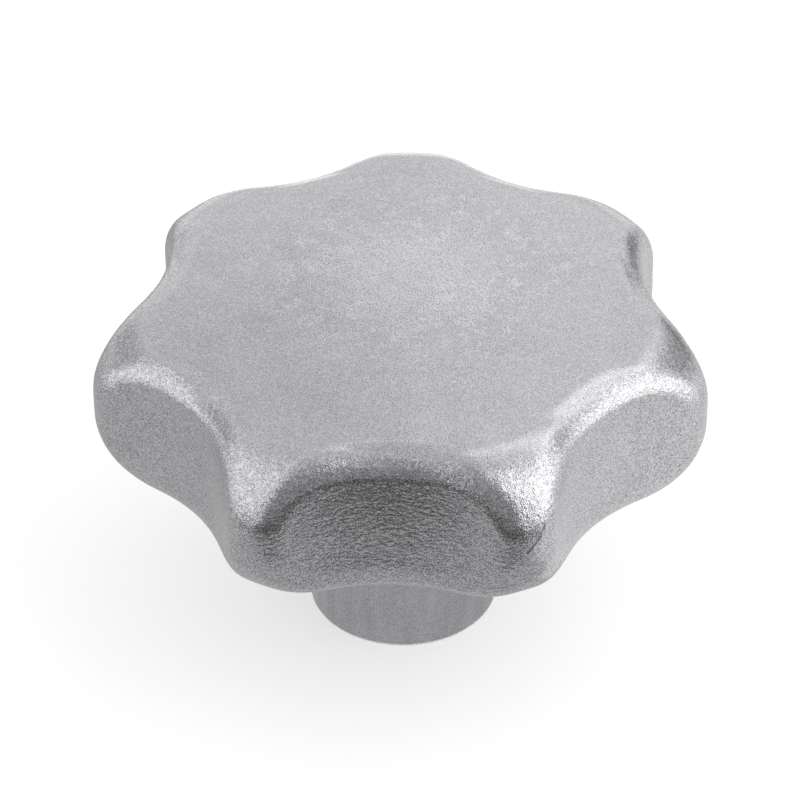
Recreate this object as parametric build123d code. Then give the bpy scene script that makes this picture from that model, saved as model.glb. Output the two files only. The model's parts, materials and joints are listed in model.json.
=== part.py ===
from build123d import *
import os
from math import cos, pi, radians, sin, sqrt, tan

os.makedirs("parts", exist_ok=True)

# Star knob: one metal casting, a seven-lobed head on a plain turned hub with a blind
# tapped hole. Millimetres, +Z up along the tapped hole's axis, origin in the centre of
# the hub's end face. One finger recess faces -Y, so a lobe faces +Y.

# ---- head: its section, from the hub's end face upwards ----
head_diameter = 80.0          # of the circle round the noses of the lobes
underside_height = 26.0       # end face of the hub to the flat underside of the head
rim_radius = 9.1              # rounding from the underside to the nose of a lobe
nose_height = 2.9             # upright part of the nose
shoulder_radius = 9.9         # rounding from the nose to the top
crown_rise = 1.7              # how far the crown falls from the axis to the head's radius

# ---- finger recesses: round scoops between the lobes ----
lobe_count = 7
nose_width = 7.5              # arc of the head's outer circle left between two scoops
recess_depth = 6.7            # outer circle to the middle of a scoop, at the underside
recess_lean = 2.7             # degrees; a scoop goes deeper towards the top
recess_edge_radius = 4.8      # rounding all along the edge of a scoop

# ---- hub ----
hub_diameter = 25.0
hub_root_radius = 3.0         # fillet between the hub and the underside
hub_edge_chamfer = 0.2

# ---- tapped hole ----
thread_diameter = 16.0        # metric coarse thread
thread_pitch = 2.0
drilled_depth = 32.0          # end face to the end of the hole's full diameter
drill_point_angle = 118.0     # degrees
countersink_angle = 120.0     # degrees; the mouth is opened to the thread's diameter

# ---- what follows from them ----
head_radius = head_diameter / 2
hub_radius = hub_diameter / 2
bore_radius = (thread_diameter - thread_pitch) / 2     # left by the tapping drill
stacked_height = underside_height + rim_radius + nose_height + shoulder_radius + crown_rise
star_bar_margin = 2.0         # keeps the star bar's own surface outside the blank
star_bar_length = 2 * stacked_height      # centred at the underside, past both ends


def crown_profile():
    """Radius of the crown, height of its centre, and the point where the shoulder meets it.

    The shoulder's arc lies inside the crown's and touches it, so the distance between
    their centres is the difference of their radii.
    """
    radius = (head_radius**2 + crown_rise**2) / (2 * crown_rise)
    shoulder_x = head_radius - shoulder_radius
    shoulder_z = underside_height + rim_radius + nose_height
    centre_gap = radius - shoulder_radius
    centre_z = shoulder_z - sqrt(centre_gap**2 - shoulder_x**2)
    meeting = (
        shoulder_x * radius / centre_gap,
        centre_z + (shoulder_z - centre_z) * radius / centre_gap,
    )
    return radius, centre_z, meeting


def turned_blank():
    """The knob before it is scooped and drilled: crowned head and hub, revolved about Z."""
    crown_radius, crown_centre_z, crown_end = crown_profile()
    apex = (0, crown_centre_z + crown_radius)
    nose_top = (head_radius, underside_height + rim_radius + nose_height)
    nose_foot = (head_radius, underside_height + rim_radius)
    rim_end = (head_radius - rim_radius, underside_height)
    root_start = (hub_radius + hub_root_radius, underside_height)
    root_end = (hub_radius, underside_height - hub_root_radius)
    chamfer_top = (hub_radius, hub_edge_chamfer)
    chamfer_end = (hub_radius - hub_edge_chamfer, 0)

    with BuildPart() as blank:
        with BuildSketch(Plane.YZ):
            with BuildLine():
                Line((0, 0), apex)
                RadiusArc(apex, crown_end, crown_radius)
                RadiusArc(crown_end, nose_top, shoulder_radius)
                Line(nose_top, nose_foot)
                RadiusArc(nose_foot, rim_end, rim_radius)
                Line(rim_end, root_start)
                RadiusArc(root_start, root_end, -hub_root_radius)
                Line(root_end, chamfer_top)
                Line(chamfer_top, chamfer_end)
                Line(chamfer_end, (0, 0))
            make_face()
        revolve(axis=Axis.Z)
    return blank.part


def scoop(bearing):
    """Leaning round bar that cuts the finger recess at this bearing.

    Its radius comes from three points of its circle at the underside: the middle of
    the recess and the two edges of the noses beside it.
    """
    half_angle = pi / lobe_count - nose_width / 2 / head_radius
    half_chord = head_radius * sin(half_angle)
    floor = head_radius - recess_depth
    sagitta = head_radius * cos(half_angle) - floor
    bar_radius = (half_chord**2 + sagitta**2) / (2 * sagitta)
    reach = floor + bar_radius / cos(radians(recess_lean))
    bar = Cylinder(bar_radius, star_bar_length)
    leaning_bar = Pos(reach, 0, underside_height) * Rot(0, -recess_lean, 0) * bar
    return Rot(0, 0, bearing) * leaning_bar


def star_bar():
    """Round bar wider than the head, scooped along its length into a seven-lobed star."""
    bar_radius = head_radius + star_bar_margin
    bar = Pos(0, 0, underside_height) * Cylinder(bar_radius, star_bar_length)
    step = 360 / lobe_count
    for number in range(lobe_count):
        bar -= scoop(number * step - 90)
    return bar


def star_head():
    """What the blank and the star bar share, with every edge of the scoops rounded.

    The rounding runs in one closed loop round each recess: over the crown, down both
    noses and along the underside.
    """
    head = turned_blank() & star_bar()
    # Only where a scoop leaves the blank is an edge neither straight nor a circle.
    scoop_edges = head.edges().filter_by(GeomType.BSPLINE)
    return fillet(scoop_edges, recess_edge_radius)


def drilled_hole():
    """Blind hole for the thread, with the drill's point and a countersunk mouth."""
    mouth_radius = thread_diameter / 2
    mouth_depth = (mouth_radius - bore_radius) / tan(radians(countersink_angle / 2))
    point_depth = bore_radius / tan(radians(drill_point_angle / 2))
    with BuildPart() as hole:
        with BuildSketch(Plane.YZ):
            with BuildLine():
                Polyline(
                    (0, 0),
                    (mouth_radius, 0),
                    (bore_radius, mouth_depth),
                    (bore_radius, drilled_depth),
                    (0, drilled_depth + point_depth),
                    (0, 0),
                )
            make_face()
        revolve(axis=Axis.Z)
    return hole.part


knob_casting = star_head() - drilled_hole()
knob_casting.label = "knob_casting"
export_step(knob_casting, "parts/knob_casting.step")
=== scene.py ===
# %% [markdown]
# # A cast star knob
#
# A star knob is a hand knob that clamps a threaded stud. This one is a single metal
# casting: a head with seven lobes, a plain round hub below it, and a blind tapped hole in
# the hub. Its construction comes from CAD as a fixed frame. What is made here is the skin
# of the casting, with the waves, wrinkles and grain that the mould leaves, the thread in
# the hole, and a small studio to look at it in.

# %% The frame: the CAD model, in metres
import json
from math import cos, degrees, pi, radians, sin, sqrt, tan

import bmesh
import bpy
from mathutils import Matrix, Vector


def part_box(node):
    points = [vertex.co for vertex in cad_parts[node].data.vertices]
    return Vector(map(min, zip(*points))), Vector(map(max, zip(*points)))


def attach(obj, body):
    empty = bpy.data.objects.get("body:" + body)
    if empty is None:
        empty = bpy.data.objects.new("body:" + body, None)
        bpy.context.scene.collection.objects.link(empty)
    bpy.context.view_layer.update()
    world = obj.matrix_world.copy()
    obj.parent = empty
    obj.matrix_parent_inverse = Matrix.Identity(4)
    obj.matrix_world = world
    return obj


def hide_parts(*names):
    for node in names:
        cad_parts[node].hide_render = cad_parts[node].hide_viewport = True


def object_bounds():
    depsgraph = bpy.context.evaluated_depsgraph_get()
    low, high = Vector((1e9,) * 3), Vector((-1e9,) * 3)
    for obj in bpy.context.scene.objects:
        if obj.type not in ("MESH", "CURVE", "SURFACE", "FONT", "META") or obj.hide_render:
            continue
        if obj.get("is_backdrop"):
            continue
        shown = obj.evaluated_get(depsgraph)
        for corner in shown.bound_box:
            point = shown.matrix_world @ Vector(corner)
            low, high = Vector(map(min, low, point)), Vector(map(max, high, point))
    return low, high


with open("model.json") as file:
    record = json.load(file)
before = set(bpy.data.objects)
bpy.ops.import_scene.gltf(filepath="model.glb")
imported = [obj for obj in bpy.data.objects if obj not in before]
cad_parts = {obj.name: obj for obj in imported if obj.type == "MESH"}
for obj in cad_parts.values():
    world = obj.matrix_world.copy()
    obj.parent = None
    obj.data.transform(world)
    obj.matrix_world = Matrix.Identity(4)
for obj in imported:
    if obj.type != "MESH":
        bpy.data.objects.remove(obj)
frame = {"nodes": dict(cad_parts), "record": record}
cad_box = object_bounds()
knob_low, knob_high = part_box("knob_casting")
knob_height = knob_high.z
MM = 0.001


def mm(length):
    """A length in millimetres, rounded for printing."""
    return round(length / MM, 2)


print("knob", [mm(size) for size in knob_high - knob_low], "mm")

# %% [markdown]
# ## Sums on node sockets
#
# A material or a geometry rule in Blender is a tree of nodes, and a sum of three numbers
# is already three nodes. The small class below wraps a socket, so that a Python
# expression adds those nodes by itself, also where a number stands first, as in 1 - mask.
# Numbers use Math nodes and vectors use Vector Math nodes. Every other node comes from
# one method, `node`.


# %% A socket that can be added, multiplied and compared
def sign(operation, reflected=False):
    """A method for a sign between two values, which adds the node for it."""
    if reflected:
        return lambda self, other: self.tree.calculate(operation, other, self)
    return lambda self, other: self.tree.calculate(operation, self, other)


class Socket:
    """The value that comes out of a node, for use in Python expressions."""

    def __init__(self, tree, socket):
        self.tree = tree
        self.socket = socket

    __add__, __radd__ = sign("ADD"), sign("ADD", reflected=True)
    __sub__, __rsub__ = sign("SUBTRACT"), sign("SUBTRACT", reflected=True)
    __mul__, __rmul__ = sign("MULTIPLY"), sign("MULTIPLY", reflected=True)
    __truediv__, __rtruediv__ = sign("DIVIDE"), sign("DIVIDE", reflected=True)
    __gt__, __lt__ = sign("GREATER_THAN"), sign("LESS_THAN")


def is_vector(value):
    """Whether a value has three parts: a vector socket, or a triple of numbers."""
    if isinstance(value, Socket):
        return value.socket.type == "VECTOR"
    return isinstance(value, (tuple, Vector))


print("sockets take +, -, *, /, > and <")


# %% A tree that makes nodes
class Tree:
    """A node tree with one method for every kind of node, and a few shorthands."""

    def __init__(self, tree):
        self.tree = tree
        self.tree.nodes.clear()

    def node(self, kind, settings=None, inputs=None):
        """Adds a node, sets its settings, then fills or links its input sockets."""
        node = self.tree.nodes.new(kind)
        for name, value in (settings or {}).items():
            setattr(node, name, value)
        for name, value in (inputs or {}).items():
            self.fill(node.inputs[name], value)
        return node

    def out(self, kind, settings=None, inputs=None, output=0):
        """Adds a node and returns one of its outputs as a Socket."""
        return Socket(self, self.node(kind, settings, inputs).outputs[output])

    def fill(self, socket, value):
        """Links a socket, several sockets or a constant to an input."""
        if isinstance(value, Socket):
            self.tree.links.new(value.socket, socket)
        elif socket.is_multi_input:
            for part in value:
                self.tree.links.new(part.socket, socket)
        elif socket.type == "RGBA":
            socket.default_value = (*value, 1.0)
        else:
            socket.default_value = value

    def calculate(self, operation, left, right):
        """One sum: Vector Math where a vector takes part, Math where none does."""
        vectors = is_vector(left) + is_vector(right)
        if vectors == 0:
            return self.math(operation, left, right)
        if vectors == 1 and operation == "MULTIPLY":
            vector, factor = (left, right) if is_vector(left) else (right, left)
            return self.vector_math("SCALE", {0: vector, "Scale": factor})
        return self.vector_math(operation, {0: left, 1: right})

    def math(self, operation, *values):
        return self.out("ShaderNodeMath", {"operation": operation}, dict(enumerate(values)))

    def vector_math(self, operation, inputs, output=0):
        return self.out("ShaderNodeVectorMath", {"operation": operation}, inputs, output)

    def clamp(self, value, low, high):
        return self.math("MINIMUM", self.math("MAXIMUM", value, low), high)

    def length(self, x, y):
        """How long a line is that goes x one way and y at a right angle to it."""
        return self.math("SQRT", x * x + y * y)

    def polar(self, radius, angle):
        """How far a line of this length and angle goes each way."""
        return radius * self.math("COSINE", angle), radius * self.math("SINE", angle)

    def vector(self, x, y, z):
        return self.out("ShaderNodeCombineXYZ", None, {"X": x, "Y": y, "Z": z})

    def parts(self, vector):
        node = self.node("ShaderNodeSeparateXYZ", None, {0: vector})
        return [Socket(self, output) for output in node.outputs]

    def place(self):
        """Where each point of the mesh lies, in a geometry tree."""
        return self.out("GeometryNodeInputPosition")

    def band(self, value, start, end, low=0.0, high=1.0):
        """Goes smoothly from low to high while value goes from start to end."""
        settings = {"interpolation_type": "SMOOTHSTEP"}
        inputs = {0: value, 1: start, 2: end, 3: low, 4: high}
        return self.out("ShaderNodeMapRange", settings, inputs)

    def noise(self, vector, scale, detail=0.0, roughness=0.5):
        """Noise from 0 to 1; scale is how many of its bumps make a metre."""
        inputs = {"Vector": vector, "Scale": scale, "Detail": detail, "Roughness": roughness}
        return self.out("ShaderNodeTexNoise", None, inputs)


print("trees make nodes, bands and noise")

# %% [markdown]
# ## The camera
#
# The knob is looked down on from the front, from six times its own width away, with a
# long lens, so its far lobes look hardly smaller than its near ones. The camera aims at a
# point nearly on the knob's axis. Its turn and its roll are small, and they make the
# front recess look not quite centred.

# %% Camera
VIEW_TURN = radians(2.63)
VIEW_ELEVATION = radians(38.32)
VIEW_ROLL = radians(-0.40)
VIEW_DISTANCE = 0.49
aim_point = Vector((-0.0003, 0.0, 0.65 * knob_height))
LENS = 169.9  # millimetres, on a sensor 36 mm wide


def add_object(name, data):
    """A new object in the scene, for a camera, a lamp or a mesh."""
    thing = bpy.data.objects.new(name, data)
    bpy.context.scene.collection.objects.link(thing)
    return thing


level = cos(VIEW_ELEVATION)
towards = Vector((sin(VIEW_TURN) * level, -cos(VIEW_TURN) * level, sin(VIEW_ELEVATION)))
turned = towards.to_track_quat("Z", "Y").to_matrix() @ Matrix.Rotation(VIEW_ROLL, 3, "Z")
camera_data = bpy.data.cameras.new("camera")
camera_data.lens = LENS
camera = add_object("camera", camera_data)
camera_place = Matrix.Translation(aim_point + towards * VIEW_DISTANCE)
camera.matrix_world = camera_place @ turned.to_4x4()
bpy.context.scene.camera = camera
print("camera at", [round(place, 3) for place in camera_place.translation])

# %% [markdown]
# ## Running a Geometry Nodes tree
#
# Each shape below is a rule in a Geometry Nodes tree, with a named input for each size.
# The tree works on a carrier object. What comes out is read back as a plain mesh and
# becomes a piece of its own, and the carrier goes away, so that no modifier is left.

# %% The end of a tree
CORNER = radians(30)  # an edge that bends more than this stays sharp


def finish_rule(rule, geometry, material, cut=None, cut_material=None):
    """Smooth faces, sharp corners, and a second material where the piece is cut."""
    smooth = rule.out("GeometryNodeSetShadeSmooth", None, {"Geometry": geometry})
    angle = rule.out("GeometryNodeInputMeshEdgeAngle")
    sharp = {"Geometry": smooth, "Selection": angle > CORNER, "Shade Smooth": False}
    cornered = rule.out("GeometryNodeSetShadeSmooth", {"domain": "EDGE"}, sharp)
    real = rule.out("GeometryNodeRealizeInstances", None, {"Geometry": cornered})
    done = rule.out("GeometryNodeSetMaterial", None, {"Geometry": real, "Material": material})
    if cut is not None:
        second = {"Geometry": done, "Selection": cut, "Material": cut_material}
        done = rule.out("GeometryNodeSetMaterial", None, second)
    rule.node("NodeGroupOutput", None, {"geometry": done})


print("corners sharper than", round(degrees(CORNER)), "degrees stay sharp")


# %% From a tree to a plain mesh
def run_rule(name, fill_rule, mesh, **values):
    """Makes a tree with an input for each value and runs it on a mesh."""
    group = bpy.data.node_groups.new(fill_rule.__name__, "GeometryNodeTree")
    rule = Tree(group)
    sockets = [("geometry", "Geometry", "INPUT"), ("geometry", "Geometry", "OUTPUT")]
    for label, value in values.items():  # an int makes a NodeSocketInt, and so on
        sockets.append((label, type(value).__name__.title(), "INPUT"))
    for label, kind, way in sockets:
        group.interface.new_socket(label, in_out=way, socket_type="NodeSocket" + kind)
    given = rule.node("NodeGroupInput").outputs
    fill_rule(rule, {label: Socket(rule, given[label]) for label in ("geometry", *values)})

    carrier = add_object(name + "_carrier", mesh)
    modifier = carrier.modifiers.new("rule", "NODES")
    modifier.node_group = group
    for item in group.interface.items_tree:
        if item.in_out == "INPUT" and item.name in values:
            modifier[item.identifier] = values[item.name]
    graph = bpy.context.evaluated_depsgraph_get()
    result = bpy.data.meshes.new_from_object(carrier.evaluated_get(graph), depsgraph=graph)
    bpy.data.objects.remove(carrier)
    piece = add_object(name, result)
    result.name = name
    print(name, len(group.nodes), "nodes,", len(result.vertices), "points")
    return piece


print("trees can be run")

# %% [markdown]
# ## The shape of the casting, as a clean mesh
#
# The CAD mesh has few, long triangles: right for its shape, but too coarse to carry the
# unevenness of cast metal. The skin is a new mesh over it, made the way a potter would
# put clay round a form. First comes a turned blank with a wide bulge for a head. Then
# each point of the bulge travels towards a ring inside the head until it meets the CAD
# surface, which gives it lobes and recesses. The sizes that this needs are measured here
# on a copy of the casting, whose loose triangles are joined first.

# %% Sizes of the casting, measured on the frame
TOUCHING = 0.001 * MM  # points nearer to each other than this are one point
END_FACE = 0.01 * MM  # what lies lower is the hub's end face
HUB_ALONE = 0.3  # share of the height that has only the hub
PAST_FILLET = 1.5  # times the hub's radius, where its fillet has ended
HUB_FILLET = 3.0 * MM
casting = bmesh.new()
casting.from_mesh(frame["nodes"]["knob_casting"].data)
bmesh.ops.remove_doubles(casting, verts=casting.verts, dist=TOUCHING)
casting_mesh = bpy.data.meshes.new("casting_form")
casting.to_mesh(casting_mesh)
casting.free()

casting_points = [(sqrt(p.co.x**2 + p.co.y**2), p.co.z) for p in casting_mesh.vertices]
hub_radius = max(radius for radius, height in casting_points if height < HUB_ALONE * knob_height)
foot_radius = max(radius for radius, height in casting_points if height < END_FACE)
underside = min(height for radius, height in casting_points if radius > PAST_FILLET * hub_radius)
head_radius = max(radius for radius, height in casting_points)
hub_chamfer = hub_radius - foot_radius
print("hub", mm(hub_radius), "mm, chamfer", mm(hub_chamfer), "mm")
print("head", mm(head_radius), "mm, underside at", mm(underside), "mm")

# %% The ring inside the head, and how round the crown is
SPINE_LEVEL = 0.55  # 0 is the underside, 1 the top of the crown
spine_radius = 0.66 * head_radius  # of the ring that the bulge travels towards
spine_height = (1 - SPINE_LEVEL) * underside + SPINE_LEVEL * knob_height
crown_middle = 0.3 * head_radius  # too flat, so near the axis, to tell its radius
crown_radii = [
    radius**2 / (2 * (knob_height - height))
    for radius, height in casting_points
    if crown_middle < radius < spine_radius and height > spine_height
]
crown_radius = sum(crown_radii) / len(crown_radii)
print("crown radius", mm(crown_radius), "mm from", len(crown_radii), "points")

# %% [markdown]
# ## The outline of the blank
#
# A lathe turns a part from one outline, and so does this step. The outline runs from the
# top of the crown over a bulge that is wider than the head, along the flat underside,
# down the fillet and the hub, and in to the axis. Its points stand close together where
# the surface will carry relief, and far apart on the flat faces that have none.


# %% Straight runs and arcs
def straight(start, end, spacing):
    """Evenly spaced points from start up to, but not including, end."""
    count = max(1, round((Vector(end) - Vector(start)).length / spacing))
    return [Vector(start).lerp(Vector(end), step / count) for step in range(count)]


def arc(centre, radius, first, last, spacing):
    """Points of an arc in the outline's plane, both ends included; angles in degrees."""
    count = max(1, round(abs(radians(last - first)) * radius / spacing))
    angles = [radians(first + (last - first) * step / count) for step in range(count + 1)]
    return [Vector((centre[0] + radius * cos(a), centre[1] + radius * sin(a))) for a in angles]


print("a quarter circle of 10 mm has", len(arc((0, 0), 10, 0, 90, 1)), "points")

# %% The blank's outline
POINT_SPACING = 0.56 * MM
FLAT_SPACING = 1.0 * MM
END_FACE_SPACING = 1.5 * MM
BULGE_ROWS = 91
BULGE_END = 89  # degrees above and below level, where its two ends lie
bulge_radius = 1.2 * (head_radius - spine_radius)


def blank_outline():
    """Points as (radius, height), from the top of the crown to the end face's middle."""
    fall = spine_radius**2 / (2 * crown_radius)
    crown = [
        Vector((point.x, knob_height - point.x**2 / (2 * crown_radius)))
        for point in straight((0, knob_height), (spine_radius, knob_height - fall), POINT_SPACING)
    ]
    bulge_spacing = bulge_radius * pi / (BULGE_ROWS + 1)
    bulge = arc((spine_radius, spine_height), bulge_radius, BULGE_END, -BULGE_END, bulge_spacing)
    fillet_centre = (hub_radius + HUB_FILLET, underside - HUB_FILLET)
    fillet = arc(fillet_centre, HUB_FILLET, 90, 180, POINT_SPACING)
    inner_foot = 0.8 * foot_radius  # outside the tapped hole
    return (
        crown
        + bulge
        + straight((spine_radius, underside), fillet[0], FLAT_SPACING)
        + fillet[:-1]
        + straight((hub_radius, fillet_centre[1]), (hub_radius, hub_chamfer), POINT_SPACING)
        + straight((hub_radius, hub_chamfer), (foot_radius, 0), hub_chamfer)
        + straight((foot_radius, 0), (inner_foot, 0), END_FACE_SPACING)
        + [Vector((inner_foot, 0)), Vector((0, 0))]
    )


def outline_object(name, points):
    """Holds an outline as loose points, for a tree to read row by row."""
    mesh = bpy.data.meshes.new(name)
    mesh.from_pydata(points, [], [])
    return add_object(name, mesh)


blank_points = [(point.x, 0.0, point.y) for point in blank_outline()]
blank_holder = outline_object("blank_outline", blank_points)
print("blank outline", len(blank_points), "rows")

# %% [markdown]
# ## A grid wrapped round the axis
#
# Blender could spin the outline, but a Geometry Nodes rule keeps rows and columns as
# numbers that later steps can use. `wrap_grid` makes a flat grid and tells each of its
# points its turn round the axis and what the outline says for its row. It is used twice,
# here and for the thread. The grid's two side edges meet, and so do all points of its
# first row and of its last, so these are joined to close the seam and the poles.


# %% A grid wrapped round the axis
def wrap_grid(rule, outline, columns):
    """A grid with a row for each outline point, and each point's turn and outline values."""
    points = rule.out("GeometryNodeObjectInfo", None, {"Object": outline}, "Geometry")
    rows = rule.out("GeometryNodeAttributeDomainSize", {"component": "MESH"}, {"Geometry": points})
    size = {"Size X": 1.0, "Size Y": 1.0, "Vertices X": columns + 1, "Vertices Y": rows}
    grid = rule.out("GeometryNodeMeshGrid", None, size)
    grid = rule.out("GeometryNodeFlipFaces", None, {"Mesh": grid})  # to face outwards
    place = rule.place()
    across, along, _ = rule.parts(place)
    turn = (across + 0.5) * (2 * pi)
    row = rule.math("ROUND", (along + 0.5) * (rows - 1))
    outline_point = rule.out(
        "GeometryNodeSampleIndex",
        {"data_type": "FLOAT_VECTOR", "domain": "POINT"},
        {"Geometry": points, "Value": place, "Index": row},
    )
    return grid, turn, rule.parts(outline_point)


def move_points(rule, geometry, **where):
    """Moves points to a Position or by an Offset, all of them or those of a Selection."""
    return rule.out("GeometryNodeSetPosition", None, {"Geometry": geometry, **where})


def weld(rule, geometry):
    """Joins points that lie together."""
    joined = {"Geometry": geometry, "Distance": TOUCHING}
    return rule.out("GeometryNodeMergeByDistance", None, joined)


print("grids can be wrapped and welded")

# %% [markdown]
# ## The edges of the finger recesses
#
# Each recess is what a leaning round bar would scoop out of the head. In CAD its edge has
# one rounding all along. A real pattern is smoothed by hand: softer in the middle of a
# recess, where fingers pull, and crisper beside the noses of the lobes. To change a
# rounding, it helps to think of a ball that rolls along the edge and touches the crown
# and the recess's wall. Its surface is the rounding. The functions below find how deep a
# point lies behind the wall and below the top, and from that, how far it has to move for
# a ball of another size.

# %% Sizes of the seven finger recesses
LOBES = 7
RECESS_FLOOR = 33.3 * MM  # from the axis, at the underside
RECESS_RADIUS = 25.1 * MM  # of the round bar that scoops a recess
RECESS_LEAN = radians(2.7)  # a recess goes deeper towards the top
recess_reach = RECESS_FLOOR + RECESS_RADIUS / cos(RECESS_LEAN)
SHOULDER_RADIUS = 9.9 * MM
shoulder_middle = head_radius - SHOULDER_RADIUS
SHOULDER_FOOT = 38.0 * MM  # height where the shoulder starts
CAST_EDGE_RADIUS = 4.8 * MM  # of the rounding in the CAD model
SOFT_EDGE_RADIUS = 4.3 * MM  # in the middle of a recess
CRISP_EDGE_RADIUS = 3.7 * MM  # beside a nose
SOFT_REACH = 5.0 * MM  # to each side of a recess's middle
CRISP_REACH = 10.0 * MM
LOWER_EDGE_HEIGHT = 36.5 * MM  # below this an edge stays as it is in CAD
UPPER_EDGE_HEIGHT = 41.0 * MM
print("recess bars", mm(2 * RECESS_RADIUS), "mm thick,", mm(recess_reach), "mm from the axis")


# %% Depths behind the wall and below the top
def recess_place(rule, x, y):
    """A point's bearing from its nearest recess, and how far out and aside it is."""
    step = 2 * pi / LOBES
    bearing = rule.math("ARCTAN2", y, x) + pi / 2
    bearing = bearing - rule.math("ROUND", bearing / step) * step
    radius = rule.length(x, y)
    return bearing, *rule.polar(radius, bearing)


def behind_wall(rule, out, aside, z):
    """How deep a point lies behind the recess's wall, and the way out of that wall."""
    axis_out = recess_reach - (z - underside) * tan(RECESS_LEAN)
    to_axis = (out - axis_out) * cos(RECESS_LEAN)
    from_axis = rule.length(to_axis, aside)
    return from_axis - RECESS_RADIUS, to_axis / from_axis * -1.0, aside / from_axis * -1.0


def below_top(rule, radius, z):
    """How deep a point lies below the crown or shoulder, and how far that faces out."""
    over = rule.math("MAXIMUM", radius - shoulder_middle, 0.0)
    above = rule.math("MAXIMUM", z - SHOULDER_FOOT, 0.0)
    reached = rule.length(over, above)
    on_shoulder = radius > shoulder_middle
    below_crown = knob_height - radius * radius / (2 * crown_radius) - z
    depth = below_crown * (1 - on_shoulder) + (SHOULDER_RADIUS - reached) * on_shoulder
    return depth, over / reached


print("depths can be measured for", LOBES, "recesses")


# %% A ball rolled along the edge
def edge_change(rule, given):
    """How far a point has to move outwards to lie on a rounding of the new radius."""
    sizes = given["soft_radius"], given["crisp_radius"]
    x, y, z = rule.parts(rule.place())
    bearing, out, aside = recess_place(rule, x, y)
    wall_depth, wall_out, wall_aside = behind_wall(rule, out, aside, z)
    top_depth, top_out = below_top(rule, rule.length(x, y), z)
    turned_out = wall_out * rule.math("COSINE", bearing)
    turned_aside = wall_aside * rule.math("SINE", bearing)
    cosine = top_out * (turned_out + turned_aside)  # of the angle between the surfaces

    sideways = rule.math("ABSOLUTE", aside)
    upper = rule.band(z, LOWER_EDGE_HEIGHT, UPPER_EDGE_HEIGHT)
    ball = rule.band(sideways, SOFT_REACH, CRISP_REACH, *sizes)
    ball = given["edge_radius"] + (ball - given["edge_radius"]) * upper

    # The ball's middle lies at the ball's radius behind both surfaces.
    to_top = ball - top_depth
    to_wall = ball - wall_depth
    square = to_top * to_top + to_wall * to_wall - 2.0 * to_top * to_wall * cosine
    spread = rule.math("SQRT", rule.math("MAXIMUM", square / (1.0 - cosine * cosine), 0.0))
    on_ball = (to_top > to_wall * cosine) * (to_wall > to_top * cosine)
    nearer = rule.math("MINIMUM", top_depth, wall_depth)
    return ((ball - spread) * on_ball + nearer * (1 - on_ball)) * upper


print("edges go from", mm(SOFT_EDGE_RADIUS), "to", mm(CRISP_EDGE_RADIUS), "mm")

# %% [markdown]
# ## Pressing the bulge onto the casting
#
# Shrinkwrap would also lay one mesh on another, but it moves each point to the nearest
# surface, and that leaves gaps in a recess. Here each point of the bulge looks towards a
# ring inside the head and goes to where its line of sight meets the casting. The CAD
# mesh has small flats for its round surfaces, so the points are smoothed afterwards.
# Smoothing alone would shrink the head, so what the first pass takes away is smoothed as
# well and given back.


# %% Pressing and smoothing
EDGE_OF_BULGE = 0.05 * MM  # keeps the bulge's first and last rows where they are
SIGHT = 100 * MM


def press_bulge(rule, given, blank):
    """Moves the bulge's points along their sight lines until they meet the casting."""
    place = rule.place()
    x, y, _ = rule.parts(place)
    distance = rule.length(x, y)
    inwards = given["spine_radius"] / distance
    spine = rule.vector(x * inwards, y * inwards, given["spine_height"])
    ray = {
        "Target Geometry": given["geometry"],
        "Source Position": place,
        "Ray Direction": spine - place,
        "Ray Length": SIGHT,
    }
    hit = Socket(rule, rule.node("GeometryNodeRaycast", None, ray).outputs["Hit Position"])
    on_bulge = distance > given["spine_radius"] + EDGE_OF_BULGE
    return move_points(rule, blank, Selection=on_bulge, Position=hit)


def smooth_head(rule, given, pressed):
    """Smooths the head's points, and then gives back what that took away."""
    place = rule.place()
    x, y, z = rule.parts(place)
    wide = rule.length(x, y) > given["spine_radius"] + EDGE_OF_BULGE
    on_head = wide * (z > given["underside"] - EDGE_OF_BULGE)

    def blurred(value):
        weighed = {"Value": value, "Iterations": given["smoothing"], "Weight": on_head}
        return rule.out("GeometryNodeBlurAttribute", {"data_type": "FLOAT_VECTOR"}, weighed)

    once = blurred(place)
    return move_points(rule, pressed, Position=once + blurred(place - once))


print("sight lines are", mm(SIGHT), "mm long")

# %% [markdown]
# ## The relief of the cast skin
#
# Sand and wax leave a skin that is never quite even: long waves, an orange peel a few
# millimetres across, and wrinkles that lie level round the walls. Displacement from a
# texture could do it, but noise in a rule can follow the shape, so the peel is deeper on
# the rounded edges, the wrinkles on the walls, and the turned hub stays smooth. The
# relief only ever goes inwards, so the knob keeps its size. Finer grain is left to the
# material.

# %% Relief
WAVES_PER_METRE = 110.0  # bumps of its noise in a metre
PEEL_PER_METRE = 520.0
WRINKLES_PER_METRE = 620.0
WRINKLE_STRETCH = (1.0, 1.0, 2.4)  # squeezed in height, so that wrinkles lie level
ROUND_EDGE = (0.1, 0.5, 0.8, 0.985)  # how far up a face looks on a rounded edge
WALL = (0.6, 0.2)  # and on a wall; 1 is straight up
FOOT = (0.3 * MM, 3.0 * MM)  # the relief starts between these heights
HUB_WAVES = 0.3  # share of the waves that the hub has
HUB_PEEL = 0.2
PEEL_SHARES = (0.45, 0.9)  # everywhere, and added on rounded edges
WRINKLE_SHARES = (0.6, 0.7)  # on rounded edges and on walls


def slope_masks(tree, facing_up, round_edge):
    """1 on rounded edges, and 1 on walls, from how far up a face looks."""
    low, wide_low, wide_high, high = round_edge
    rounded = tree.band(facing_up, low, wide_low) * tree.band(facing_up, high, wide_high)
    return rounded, tree.band(facing_up, *WALL)


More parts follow.
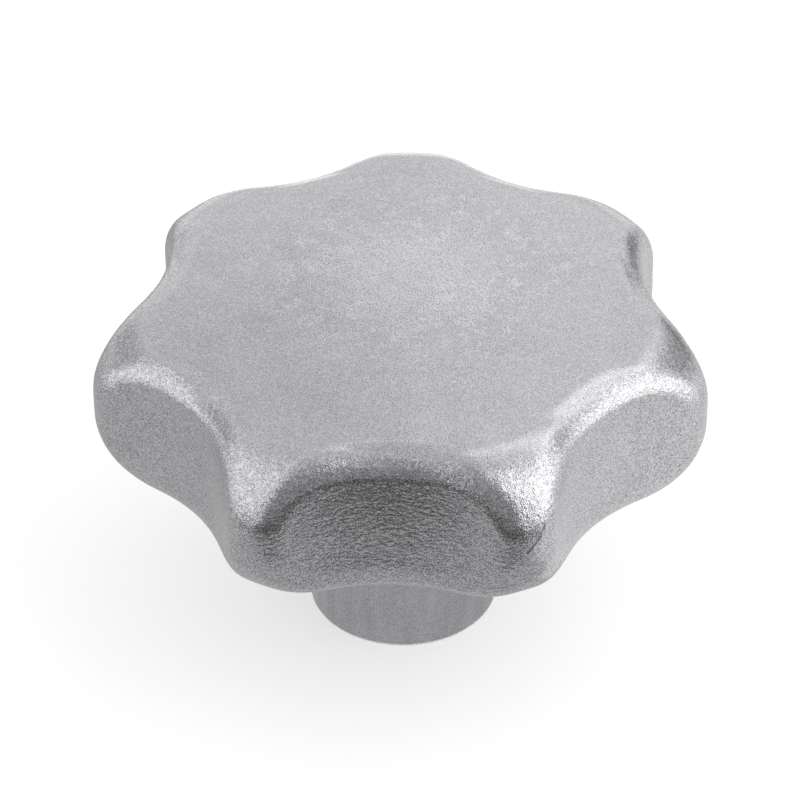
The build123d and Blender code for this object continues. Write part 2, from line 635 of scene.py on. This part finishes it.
def relief_depth(rule, given, place, normal):
    """How deep the cast skin lies below a perfect surface."""
    z = rule.parts(place)[2]
    rounded, wall = slope_masks(rule, rule.parts(normal)[2], ROUND_EDGE)
    head = rule.band(z, given["underside"] - 1.0 * MM, given["underside"])
    foot = rule.band(z, *FOOT)
    waves = rule.noise(place, WAVES_PER_METRE, 1.0) * given["wave_depth"]
    peel = rule.noise(place, PEEL_PER_METRE, 1.0) * given["peel_depth"]
    stretched = place * WRINKLE_STRETCH
    wrinkles = rule.noise(stretched, WRINKLES_PER_METRE, 2.0) * given["wrinkle_depth"]
    depth = waves * (HUB_WAVES + (1 - HUB_WAVES) * head)
    peel = peel * (HUB_PEEL + (1 - HUB_PEEL) * head)
    depth = depth + peel * (PEEL_SHARES[0] + PEEL_SHARES[1] * rounded)
    depth = depth + wrinkles * head * (WRINKLE_SHARES[0] * rounded + WRINKLE_SHARES[1] * wall)
    return depth * foot


print("wrinkles about", mm(1 / WRINKLES_PER_METRE), "mm apart")

# %% [markdown]
# ## The rule of the skin
#
# The tree wraps the blank, presses it onto the casting, smooths it, rounds the edges
# again and lets the surface wave. The edges are moved twice, because a point's way out
# changes a little with the first move.


# %% The skin's tree
def skin_rule(rule, given):
    """Wraps, presses, smooths, rounds and waves."""
    grid, turn, (radius, _, height) = wrap_grid(rule, given["outline"], given["columns"])
    blank = move_points(rule, grid, Position=rule.vector(*rule.polar(radius, turn), height))
    skin = smooth_head(rule, given, weld(rule, press_bulge(rule, given, blank)))
    normal = rule.out("GeometryNodeInputNormal")
    for _ in range(2):
        skin = move_points(rule, skin, Offset=normal * edge_change(rule, given))
    depth = relief_depth(rule, given, rule.place(), normal)
    skin = move_points(rule, skin, Offset=normal * (depth * -1.0))
    finish_rule(rule, skin, given["material"])


print("the skin's tree can be run")

# %% [markdown]
# ## The thread
#
# A tap cuts a screw-shaped groove in the wall of a drilled hole. The rule makes the solid
# that the drill and the tap take out together. Its rows follow the thread's own outline:
# two for the flat crest and two for the flat root in each turn. On a threaded row, the
# height also grows with the angle, by one pitch a turn, and that makes the helix. Where
# a row would leave the threaded length, it closes up on the drilled wall.

# %% Sizes of the tapped hole
bore = next(mount for mount in frame["record"]["mounts"] if mount["name"] == "tapped_hole")
crest_radius = bore["dims"]["r_mm"] * MM
THREAD_PITCH = 2.0 * MM
root_radius = crest_radius + THREAD_PITCH / 2
drilled_depth = bore["pos_m"][2] + bore["dims"]["length_mm"] * MM
threaded_depth = drilled_depth - 2 * THREAD_PITCH
thread_start = -2 * THREAD_PITCH  # below the end face, so that the groove runs out of it
DRILL_ANGLE = radians(118)
drill_point = crest_radius / tan(DRILL_ANGLE / 2)
CREST_FLAT = 1 / 4  # shares of the pitch
ROOT_FLAT = 1 / 8
print("thread", mm(threaded_depth), "mm deep, in a hole", mm(drilled_depth), "mm deep")


# %% Rows of the hole
def hole_outline():
    """Points as (radius, 1 where the row follows the helix, height)."""
    flank = (1 - CREST_FLAT - ROOT_FLAT) / 2
    turns = round((threaded_depth - thread_start) / THREAD_PITCH) + 1
    rows = [(0.0, 0.0, thread_start), (crest_radius, 0.0, thread_start)]
    for turn in range(-1, turns):
        foot = thread_start + turn * THREAD_PITCH
        for radius, place in (
            (crest_radius, 0.0),
            (crest_radius, CREST_FLAT),
            (root_radius, CREST_FLAT + flank),
            (root_radius, CREST_FLAT + flank + ROOT_FLAT),
        ):
            rows.append((radius, 1.0, foot + place * THREAD_PITCH))
    rows += [(crest_radius, 0.0, threaded_depth), (crest_radius, 0.0, drilled_depth)]
    rows.append((0.0, 0.0, drilled_depth + drill_point))
    return rows[::-1]  # from the top down, as the blank's, so that its faces point outwards


hole_points = hole_outline()
hole_holder = outline_object("hole_outline", hole_points)
print("hole outline", len(hole_points), "rows")


# %% The thread's tree
def thread_rule(rule, given):
    grid, turn, (radius, helical, height) = wrap_grid(rule, given["outline"], given["columns"])
    raised = height + helical * given["pitch"] * turn / (2 * pi)
    above_start = raised > given["start"] + TOUCHING
    inside = above_start * (raised < given["end"] - TOUCHING)
    closed = helical * (1 - inside)
    radius = radius * (1 - closed) + given["crest_radius"] * closed
    held = rule.clamp(raised, given["start"], given["end"])
    height = raised * (1 - helical) + held * helical
    screw = move_points(rule, grid, Position=rule.vector(*rule.polar(radius, turn), height))
    finish_rule(rule, weld(rule, screw), given["material"])


print("the thread's tree can be run")

# %% [markdown]
# ## Drilling and tapping
#
# The last rule takes the hole's solid and a countersink out of the casting with a
# Boolean, as the machine shop does. A Boolean gives clean edges where the groove runs
# out through the countersink, which would be hard to model by hand. Only the cut faces
# get the bright machined finish.

# %% The machining tree
COUNTERSINK = radians(120)
SINK_COLUMNS = 192
SINK_REACH = 1.0 * MM  # the cone goes this far to each side of the end face


def machining_rule(rule, given):
    hole = rule.out("GeometryNodeObjectInfo", None, {"Object": given["hole"]}, "Geometry")
    widening = SINK_REACH * tan(COUNTERSINK / 2)
    cone = {
        "Vertices": SINK_COLUMNS,
        "Radius Bottom": given["mouth_radius"] + widening,
        "Radius Top": given["mouth_radius"] - widening,
        "Depth": 2 * SINK_REACH,
    }
    sink = rule.out("GeometryNodeMeshCone", None, cone)
    sink = move_points(rule, sink, Offset=(0.0, 0.0, -SINK_REACH))
    cut = rule.out(
        "GeometryNodeMeshBoolean",
        {"operation": "DIFFERENCE", "solver": "MANIFOLD"},
        {"Mesh 1": given["geometry"], "Mesh 2": (hole, sink)},
    )
    x, y, z = rule.parts(rule.place())
    reached = (rule.length(x, y) < given["cut_radius"]) * (z < given["cut_depth"])
    finish_rule(rule, cut, given["cast_finish"], reached, given["cut_finish"])


print("countersink", round(degrees(COUNTERSINK)), "degrees")

# %% [markdown]
# ## The finish of cast metal
#
# The knob was cast, tumbled clean and left bare: grey, soft in its gloss and nowhere
# even. Waves and wrinkles are already in the mesh, and the material adds what is finer: a
# grain as fine as sand, pits on the rounded edges, and creases that lie level on the
# walls. A bump alone hardly shows on metal under soft light, because all that it reflects
# is equally bright. So the same noises also darken the metal in their hollows and along
# thin lines: painted shade, where the real skin would be shaded.
# The crown has a paler, scuffed patch, where knobs rub against each other in the tumbler.
# The hub is smoother and has faint upright streaks. All heights are in metres, so the
# bump's distance is 1.


# %% Helpers for finishes
def new_finish(name):
    material = bpy.data.materials.new(name)
    material.use_nodes = True
    return material, Tree(material.node_tree)


def metal(tree, colour, roughness, height):
    """A bare metal shader with this colour and roughness, and a bump from a height."""
    bump = {"Strength": 1.0, "Distance": 1.0, "Height": height}
    inputs = {"Base Color": colour, "Metallic": 1.0, "Roughness": roughness}
    inputs["Normal"] = tree.out("ShaderNodeBump", None, bump)
    shader = tree.out("ShaderNodeBsdfPrincipled", None, inputs)
    tree.node("ShaderNodeOutputMaterial", None, {"Surface": shader})


def mix_colours(tree, factor, first, second):
    inputs = {0: factor, 6: first, 7: second}
    return tree.out("ShaderNodeMix", {"data_type": "RGBA"}, inputs, output=2)


print("finishes can be made")

# %% [markdown]
# Where each kind of unevenness belongs depends on the place: how high it is, and how far
# its face looks up. These masks are 1 where it belongs and 0 elsewhere.

# %% Masks for cast metal
HEAD_STARTS = (underside - 2 * MM, underside + 1 * MM)
FINE_ROUND_EDGE = (0.05, 0.5, 0.8, 0.99)  # fine grain reaches further than the relief
CROWN = (0.9, 0.98)
FRONT_STARTS = (-20 * MM, -32 * MM)  # the front recess lies beyond these
FRONT_HALF_WIDTH = (12 * MM, 22 * MM)
PATCH_MIDDLE = (1 * MM, 5 * MM)
PATCH_REACH = (15 * MM, 3 * MM)
PATCH_RAGGED = 20 * MM  # how far the clouds move the patch's edge
SCUFFED_REACH = (28 * MM, 8 * MM)
SCUFFED_RAGGED = 30 * MM


def cast_masks(tree, place, clouds, flecks):
    """Masks by name; "all" is 1 everywhere."""
    x, y, z = tree.parts(place)
    facing_up = tree.parts(tree.out("ShaderNodeNewGeometry", None, None, "Normal"))[2]
    rounded, wall = slope_masks(tree, facing_up, FINE_ROUND_EDGE)
    inner, outer = FRONT_HALF_WIDTH
    front = tree.band(y, *FRONT_STARTS) * tree.band(x * x, outer**2, inner**2)
    from_patch = tree.length(x - PATCH_MIDDLE[0], y - PATCH_MIDDLE[1])
    patch = tree.band(from_patch + clouds * PATCH_RAGGED, *PATCH_REACH)
    scuffed = tree.band(from_patch + clouds * SCUFFED_RAGGED, *SCUFFED_REACH)
    return {
        "all": 1.0,
        "head": tree.band(z, *HEAD_STARTS),
        "rounded": rounded,
        "wall": wall,
        "front wall": wall * front,
        "patch": patch * tree.band(facing_up, *CROWN),
        "scuffs": scuffed * flecks,
    }


def add_up(masks, shares):
    """The sum of each named mask times its share."""
    return sum(masks[name] * share for name, share in shares.items())


print("patch in the crown's middle, moved", [mm(move) for move in PATCH_MIDDLE], "mm")

# %% [markdown]
# Beside the front recess, on the edge of the lobe to its right, the casting has one
# small flaw: a fold about 4 mm long, where two streams of metal met as the mould filled.
# It is thinner than the mesh's faces, so it is a groove in its bump and a dark line in
# the material, which is painted shade in that groove. The line is every place that is
# near enough to one of two straight runs between three places on the skin, and noise
# makes it waver.

# %% The fold
FOLD_PLACES = [Vector(spot) * MM for spot in (
    (18.65, -34.8, 40.4), (18.15, -35.4, 39.1), (16.6, -36.3, 37.1))]
FOLD_HALF_WIDTH = 0.26 * MM
FOLD_CORE = 0.05 * MM  # its darkest part, to each side of its middle
FOLD_WAVER = 0.5 * MM


def distance_to_run(tree, place, start, end):
    """How far a place is from the straight run between two others."""
    run = end - start
    from_start = place - start
    along = {0: from_start, 1: run / run.length_squared}
    share = tree.clamp(tree.vector_math("DOT_PRODUCT", along, "Value"), 0.0, 1.0)
    return tree.vector_math("LENGTH", {0: from_start - share * run}, "Value")


def fold_mask(tree, place, pits):
    """1 in the middle of the fold, 0 away from it."""
    runs = zip(FOLD_PLACES, FOLD_PLACES[1:])
    distance = tree.math("MINIMUM", *(distance_to_run(tree, place, *ends) for ends in runs))
    return tree.band(distance + pits * FOLD_WAVER, FOLD_HALF_WIDTH, FOLD_CORE)


print("fold", mm((FOLD_PLACES[-1] - FOLD_PLACES[0]).length), "mm long")

# %% [markdown]
# The grain's noise is laid on a tilted copy of the coordinates. Noise is made on a hidden
# lattice, and where a nearly level surface such as the crown cuts through the layers of
# the lattice, rings would show. The dark lines of creases and seams, which are painted
# shade, are drawn where noise crosses its middle value, which happens along thin lines.

# %% The noises of cast metal
NOISES = (  # name, bumps in a metre, stretch (below 1 is longer), detail, roughness
    ("clouds", 150.0, (1.0, 1.0, 1.0), 3.0, 0.6),
    ("grain", 7600.0, (1.0, 1.0, 1.0), 0.0, 0.5),
    ("pits", 1500.0, (1.0, 1.0, 1.5), 2.0, 0.6),
    ("waver", 2400.0, (0.55, 0.55, 1.0), 1.0, 0.5),
    ("streaks", 420.0, (1.0, 1.0, 0.2), 2.0, 0.5),
    ("flecks", 480.0, (1.0, 1.0, 1.0), 5.0, 0.75),
)
GRAIN_TILT = (0.5, 0.6, 0.3)  # radians
FLECK_EDGE = (0.0, 0.12)


def cast_noises(tree, place):
    """All the noises of the table, each around 0."""
    tilted = tree.out("ShaderNodeMapping", None, {"Vector": place, "Rotation": GRAIN_TILT})
    noises = []
    for name, per_metre, stretch, detail, roughness in NOISES:
        base = (tilted if name == "grain" else place) * stretch
        noises.append(tree.noise(base, per_metre, detail, roughness) - 0.5)
    return noises


def thin_lines(tree, noise, width):
    """1 where the noise crosses 0, falling to 0 where it is this far from 0."""
    return 1 - tree.band(tree.math("ABSOLUTE", noise), 0.0, width)


for name, per_metre, *_ in NOISES:
    print(name, mm(1 / per_metre), "mm across")

# %% [markdown]
# The tables tell how deep each kind is, and how much it changes the metal's tone, in each
# place. The tone of the pits is painted shade, darker where they are deep; that of the
# grain is a random speckle and also painted shade in its hollows. The shares of a table
# are added up where their places overlap.

# %% Depths and tones
GRAIN_HEIGHT = 15e-6  # metres
PIT_HEIGHT = 54e-6
CREASE_HEIGHT = 46e-6
FOLD_HEIGHT = -60e-6
HUB_GRAIN = 0.3  # share of the grain's height that the hub has
GRAIN_DEPTHS = {"all": 0.7, "rounded": 0.9}
PIT_DEPTHS = {"all": 0.3, "rounded": 0.9, "wall": 0.2}
CREASE_DEPTHS = {"wall": 0.5, "front wall": 0.9}

DARK_METAL = (0.30, 0.30, 0.315)
PALE_METAL = (0.94, 0.94, 0.965)
HEAD_TONE = 0.58  # 0 is dark metal, 1 is pale metal
HUB_TONE = 0.44
CLOUD_TONE = 0.25
STREAK_TONE = 0.35
# painted shade: dark lines along the creases on the walls
CREASE_SHADE_TONE = 0.30
# the fold's tone is painted shade in its groove
PLACE_TONES = {"patch": 0.18, "scuffs": 0.28, "fold": -0.7}
# painted shade: deeper pits are darker
PIT_SHADE_TONES = {"all": 0.3, "rounded": 0.6}
# painted shade: dark lines along thin seams
SEAM_SHADE_TONES = {"all": 0.06, "rounded": 0.3}
# the grain's tone is a random speckle, and painted shade where it is deep
GRAIN_TONES_AND_SHADE = {
    "all": 1.3, "scuffs": 2.2, "patch": 0.8, "rounded": 0.3, "wall": 1.0, "front wall": 1.2
}
CREASE_WIDTH, CREASES_COVER = 0.07, 0.25  # width in noise, share of the surface
SEAM_WIDTH, SEAMS_COVER = 0.06, 0.2
CAST_ROUGHNESS = 0.18
CLOUD_ROUGHNESS = 0.05
GRAIN_ROUGHNESS = 0.2
print("head", HEAD_TONE, "and hub", HUB_TONE, "of the way from dark to pale metal")


# %% Cast metal
def cast_metal():
    material, tree = new_finish("cast_metal")
    place = tree.out("ShaderNodeTexCoord", None, None, "Object")
    clouds, grain, pits, waver, streaks, flecks = cast_noises(tree, place)
    masks = cast_masks(tree, place, clouds, tree.band(flecks, *FLECK_EDGE))
    masks["fold"] = fold_mask(tree, place, pits)
    head = masks["head"]
    creased = head * add_up(masks, CREASE_DEPTHS)

    height = grain * (GRAIN_HEIGHT * (HUB_GRAIN + head * add_up(masks, GRAIN_DEPTHS)))
    height = height + pits * (PIT_HEIGHT * (head * add_up(masks, PIT_DEPTHS)))
    height = height + waver * (CREASE_HEIGHT * creased) + masks["fold"] * FOLD_HEIGHT

    # The grain's tone is a random speckle and painted shade in its hollows; the pits' tone and the
    # fold's dark line are painted shade.
    tone = HEAD_TONE + clouds * CLOUD_TONE + grain * add_up(masks, GRAIN_TONES_AND_SHADE)
    tone = tone + pits * add_up(masks, PIT_SHADE_TONES) + add_up(masks, PLACE_TONES)
    # Painted shade: dark lines along the creases and seams, a little lighter between them.
    crease_shade_lines = thin_lines(tree, waver, CREASE_WIDTH)
    seam_shade_lines = thin_lines(tree, pits, SEAM_WIDTH)
    tone = tone + (CREASES_COVER - crease_shade_lines) * (creased * CREASE_SHADE_TONE)
    tone = tone + (SEAMS_COVER - seam_shade_lines) * add_up(masks, SEAM_SHADE_TONES)
    # On the hub too, the grain's tone is a random speckle and painted shade in its hollows.
    hub_tone = HUB_TONE + streaks * STREAK_TONE + grain
    tone = tone * head + hub_tone * (1 - head)

    colour = mix_colours(tree, tone, DARK_METAL, PALE_METAL)
    roughness = CAST_ROUGHNESS + clouds * CLOUD_ROUGHNESS + grain * GRAIN_ROUGHNESS
    metal(tree, colour, roughness, height)
    print("cast metal", len(tree.tree.nodes), "nodes")
    return material


cast_finish = cast_metal()

# %% [markdown]
# ## The finish of the hole
#
# The drilled and tapped hole is cut metal: brighter, glossier, with fine turning marks
# round the axis. The marks are noise squeezed in height, so that it runs round the hole.

# %% Cut metal
MARKS_PER_METRE = 5200.0
BLOTCHES_PER_METRE = 400.0
MARK_HEIGHT = 4e-6  # metres
MARK_STRETCH = (0.15, 0.15, 1.0)
DULL_CUT = (0.60, 0.60, 0.61)
BRIGHT_CUT = (0.74, 0.74, 0.75)
CUT_ROUGHNESS = 0.24
BLOTCH_ROUGHNESS = 0.12


def cut_metal():
    material, tree = new_finish("cut_metal")
    place = tree.out("ShaderNodeTexCoord", None, None, "Object")
    marks = tree.noise(place * MARK_STRETCH, MARKS_PER_METRE, 1.0)
    blotches = tree.noise(place, BLOTCHES_PER_METRE, 2.0)
    colour = mix_colours(tree, blotches, DULL_CUT, BRIGHT_CUT)
    roughness = CUT_ROUGHNESS + (blotches - 0.5) * BLOTCH_ROUGHNESS
    metal(tree, colour, roughness, marks * MARK_HEIGHT)
    print("cut metal", len(tree.tree.nodes), "nodes")
    return material


cut_finish = cut_metal()

# %% [markdown]
# ## Making the knob
#
# The three rules run in the order of the real work: the casting, the tool, the cut. The
# skin has 420 columns, one every 0.6 mm round the head, which is fine enough for the
# wrinkles and keeps the piece under 200,000 triangles.

# %% The skin
skin = run_rule(
    "skin", skin_rule, casting_mesh,
    outline=blank_holder, columns=420, smoothing=7,
    spine_radius=spine_radius, spine_height=spine_height, underside=underside,
    edge_radius=CAST_EDGE_RADIUS, soft_radius=SOFT_EDGE_RADIUS, crisp_radius=CRISP_EDGE_RADIUS,
    wave_depth=0.10 * MM, peel_depth=0.07 * MM, wrinkle_depth=0.07 * MM,
    material=cast_finish,
)

# %% What the drill and the tap take out
hole = run_rule(
    "hole", thread_rule, bpy.data.meshes.new("nothing"),
    outline=hole_holder, columns=96, pitch=THREAD_PITCH, crest_radius=crest_radius,
    start=thread_start, end=threaded_depth,
    material=cut_finish,
)

# %% The finished knob
CUT_MARGIN = 0.5 * MM
knob = run_rule(
    "star_knob", machining_rule, skin.data,
    hole=hole, mouth_radius=root_radius, cut_radius=root_radius + CUT_MARGIN,
    cut_depth=drilled_depth + drill_point + CUT_MARGIN,
    cast_finish=cast_finish, cut_finish=cut_finish,
)
for helper in (skin, hole, blank_holder, hole_holder):
    bpy.data.objects.remove(helper)
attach(knob, "root")
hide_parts("knob_casting")

# %% [markdown]
# ## Is the mesh sound?
#
# A closed mesh has two faces at each edge, and when its faces point outwards its volume
# comes out positive and near that of the CAD solid.

# %% Check the mesh
check = bmesh.new()
check.from_mesh(knob.data)
open_edges = sum(len(edge.link_faces) != 2 for edge in check.edges)
triangles = sum(len(face.verts) - 2 for face in check.faces)
volume = check.calc_volume(signed=True) / MM**3 / 1000
check.free()
print(triangles, "triangles,", open_edges, "open edges,", round(volume, 2), "cm3")

# %% [markdown]
# ## The studio
#
# Bare metal has hardly any colour of its own: it shows what stands round it. So the
# studio shapes it as much as the lamps light it. The room is a plain pale grey. Tall soft
# boxes stand to the right and, much weaker, to the left, and one hangs behind on the
# right. A photographer of metal also sets up cards for the metal to reflect: here a dark
# curtain in front, a plain ceiling, panels behind, and grey cards on the floor. They give
# the rounded edges of the recesses their dark outline. Cards are seen in reflections
# only: they cast no shadow and don't show in any view.
#
# Directions are given as bearings: 0 is towards the camera and 90 is to its right.

# %% Places in the studio
knob_middle = Vector((0, 0, 0.8 * knob_height))


def way_out(bearing):
    """The level direction at this bearing."""
    turn = radians(bearing) + VIEW_TURN
    return Vector((sin(turn), -cos(turn), 0))


def facing(place, target):
    """A matrix for something that stands at a place and looks at a target."""
    turned = (target - place).to_track_quat("-Z", "Y").to_matrix().to_4x4()
    return Matrix.Translation(place) @ turned


def facing_knob(bearing, elevation, distance):
    """Tilted towards the knob's middle, from this bearing and this high above it."""
    out = way_out(bearing) * (distance * cos(radians(elevation)))
    place = knob_middle + out + Vector((0, 0, distance * sin(radians(elevation))))
    return facing(place, knob_middle)


def upright(bearing, distance, height):
    """Upright at this bearing from the knob's axis, with its middle at this height."""
    place = way_out(bearing) * distance + Vector((0, 0, height))
    return facing(place, Vector((0, 0, height)))


print("the knob's middle is", mm(knob_middle.z), "mm up")


# %% Soft boxes and sheets
def soft_box(name, matrix, width, height, level):
    """An area lamp whose face has this brightness, where 1 is white."""
    data = bpy.data.lights.new(name, "AREA")
    data.shape = "RECTANGLE"
    data.size, data.size_y = width, height
    data.energy = level * pi * width * height
    add_object(name, data).matrix_world = matrix


def sheet(name, matrix, width, height, material):
    """A flat rectangle of the studio, no part of the knob."""
    mesh = bpy.data.meshes.new(name)
    w, h = width / 2, height / 2
    mesh.from_pydata([(-w, -h, 0), (w, -h, 0), (w, h, 0), (-w, h, 0)], [], [(0, 1, 2, 3)])
    mesh.transform(matrix)
    mesh.materials.append(material)
    piece = add_object(name, mesh)
    piece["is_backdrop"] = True
    return piece


def card(name, matrix, width, height, level):
    """A sheet that glows with one plain grey and is seen in reflections only."""
    material, tree = new_finish(name)
    glow = tree.out("ShaderNodeEmission", None, {"Color": (level,) * 3})
    tree.node("ShaderNodeOutputMaterial", None, {"Surface": glow})
    piece = sheet(name, matrix, width, height, material)
    for ray in ("camera", "diffuse", "shadow", "transmission", "volume_scatter"):
        setattr(piece, "visible_" + ray, False)


print("soft boxes and cards can be set up")

# %% [markdown]
# The floor is matt and nearly white. A faint glow, for the eye and for reflections alone,
# makes it white where nothing shades it, so that it needs no more light. Its lower side
# is clear, which lets the knob be looked at from below.

# %% The floor and the room
FLOOR_GREY = 0.9
FLOOR_GLOW = 0.39
ROOM_GREY = 0.67
FLOOR_WIDTH = 3.0


def pale_floor():
    material, tree = new_finish("pale_floor")
    matt = tree.out("ShaderNodeBsdfDiffuse", None, {"Color": (FLOOR_GREY,) * 3})
    light_path = tree.node("ShaderNodeLightPath").outputs
    kinds = ("Camera", "Glossy", "Transmission")
    strength = sum(Socket(tree, light_path[f"Is {kind} Ray"]) for kind in kinds) * FLOOR_GLOW
    glow = tree.out("ShaderNodeEmission", None, {"Strength": strength})
    both = tree.out("ShaderNodeAddShader", None, {0: matt, 1: glow})
    from_below = tree.out("ShaderNodeNewGeometry", None, None, "Backfacing")
    clear = tree.out("ShaderNodeBsdfTransparent")
    floor = tree.out("ShaderNodeMixShader", None, {0: from_below, 1: both, 2: clear})
    tree.node("ShaderNodeOutputMaterial", None, {"Surface": floor})
    sheet("floor", Matrix(), FLOOR_WIDTH, FLOOR_WIDTH, material)


pale_floor()
world = bpy.data.worlds.new("room")
world.use_nodes = True
room = world.node_tree.nodes["Background"].inputs["Color"]
room.default_value = (ROOM_GREY, ROOM_GREY, ROOM_GREY, 1.0)
bpy.context.scene.world = world
print("floor", FLOOR_WIDTH, "m wide, room grey", ROOM_GREY)

# %% [markdown]
# Each row below gives a place, a width, a height and a brightness. That of a soft box
# comes on top of the room's, and a card hides the room behind it.

# %% Soft boxes
for name, matrix, width, height, level in (
    ("right_soft_box", upright(69, 0.50, 0.50), 0.56, 0.95, 0.80),
    ("right_edge_soft_box", upright(49, 0.48, 0.50), 0.12, 0.95, 0.30),
    ("right_back_soft_box", facing_knob(134, 53, 0.60), 0.41, 0.34, 0.53),
    ("left_soft_box", upright(-69, 0.50, 0.47), 0.58, 0.85, 0.27),
):
    soft_box(name, matrix, width, height, level)
    print(name, level)

# %% Standing and hanging cards
for name, matrix, width, height, level in (
    ("curtain_low_card", upright(2, 0.30, 0.125), 0.48, 0.25, 0.28),
    ("curtain_high_card", upright(2, 0.30, 0.70), 0.48, 0.90, 0.38),
    ("ceiling_card", facing_knob(0, 89.9, 0.42), 0.26, 0.26, 0.60),
    ("back_right_card", facing_knob(136, 10, 0.45), 0.26, 0.28, 0.31),
    ("back_left_card", facing_knob(-122, 15, 0.50), 0.30, 0.30, 0.45),
    ("back_low_left_card", upright(-162, 0.27, 0.16), 0.165, 0.14, 0.77),
    ("back_low_right_card", upright(162, 0.27, 0.16), 0.165, 0.14, 0.81),
    ("back_high_left_card", upright(-162, 0.27, 0.32), 0.165, 0.18, 0.60),
    ("back_high_right_card", upright(162, 0.27, 0.32), 0.165, 0.18, 0.75),
):
    card(name, matrix, width, height, level)
    print(name, level)

# %% [markdown]
# The cards on the floor are given by their left and right side, their near and far side,
# and a layer. The upper layer lies a little higher, so that no two cards are level where
# they cross.

# %% Cards on the floor
LAYER_HEIGHT = 0.2 * MM
for name, left, right, near, far, layer, level in (
    ("left_floor_card", -0.30, -0.05, -0.30, 0.25, 1, 0.47),
    ("right_floor_card", 0.03, 0.30, -0.30, 0.25, 1, 0.72),
    ("far_floor_card", -0.12, 0.12, -0.30, -0.083, 2, 0.12),
    ("near_floor_card", -0.06, 0.05, -0.083, -0.034, 2, 0.42),
    ("under_card", -0.05, 0.03, -0.034, 0.13, 2, 0.48),
):
    middle = Vector(((left + right) / 2, (near + far) / 2, layer * LAYER_HEIGHT))
    matrix = Matrix.Rotation(VIEW_TURN, 4, "Z") @ Matrix.Translation(middle)
    card(name, matrix, right - left, far - near, level)
    print(name, level)

# %% [markdown]
# ## Sizes and the end
#
# Standard view keeps the colours as they are written. The box of the CAD model and the
# box of the finished knob are compared, to see whether the knob stays inside.

# %% Set the view and compare both boxes
bpy.context.scene.view_settings.view_transform = "Standard"
model_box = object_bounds()
inside = all(
    cad_box[0][axis] <= model_box[0][axis] and model_box[1][axis] <= cad_box[1][axis]
    for axis in range(3)
)
print("inside the CAD box:", inside)
